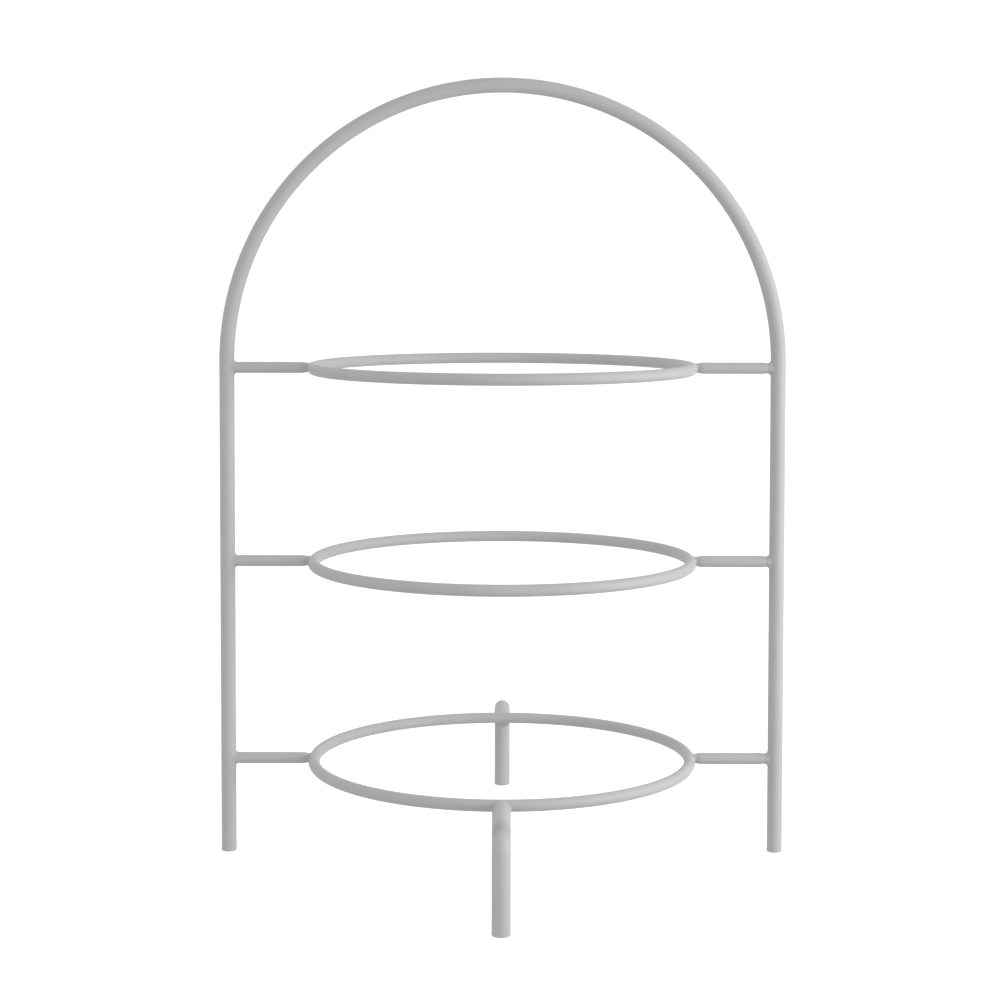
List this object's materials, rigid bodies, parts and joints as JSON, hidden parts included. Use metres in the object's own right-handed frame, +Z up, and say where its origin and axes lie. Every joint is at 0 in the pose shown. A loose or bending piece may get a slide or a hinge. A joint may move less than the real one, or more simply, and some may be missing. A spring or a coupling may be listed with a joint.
{
  "type": "tiered cake stand",
  "caption": "Tiered plate stand of welded round rod: a tall arch holds horizontal rings on short spokes, with bent legs front and back.",
  "frame": {"origin": "on the ground at the middle of the four feet", "axes": "+Z up, X across the arch from the left upright to the right one, the legs at -Y (front) and +Y (back)"},
  "size_m": [0.3, 0.3, 0.4119],
  "materials": {
    "arch_coat": "matte",
    "ring_coat": "matte",
    "leg_coat": "matte",
    "weld_coat": "matte"
  },
  "bodies": {
    "root": {"arch_frame": "arch_coat", "top_ring": "ring_coat", "top_left_spoke": "ring_coat", "top_right_spoke": "ring_coat", "top_ring_welds": "weld_coat", "middle_ring": "ring_coat", "middle_left_spoke": "ring_coat", "middle_right_spoke": "ring_coat", "middle_ring_welds": "weld_coat", "bottom_ring": "ring_coat", "bottom_left_spoke": "ring_coat", "bottom_right_spoke": "ring_coat", "bottom_ring_welds": "weld_coat", "front_leg": "leg_coat", "back_leg": "leg_coat", "leg_welds": "weld_coat"}
  },
  "joints": []
}
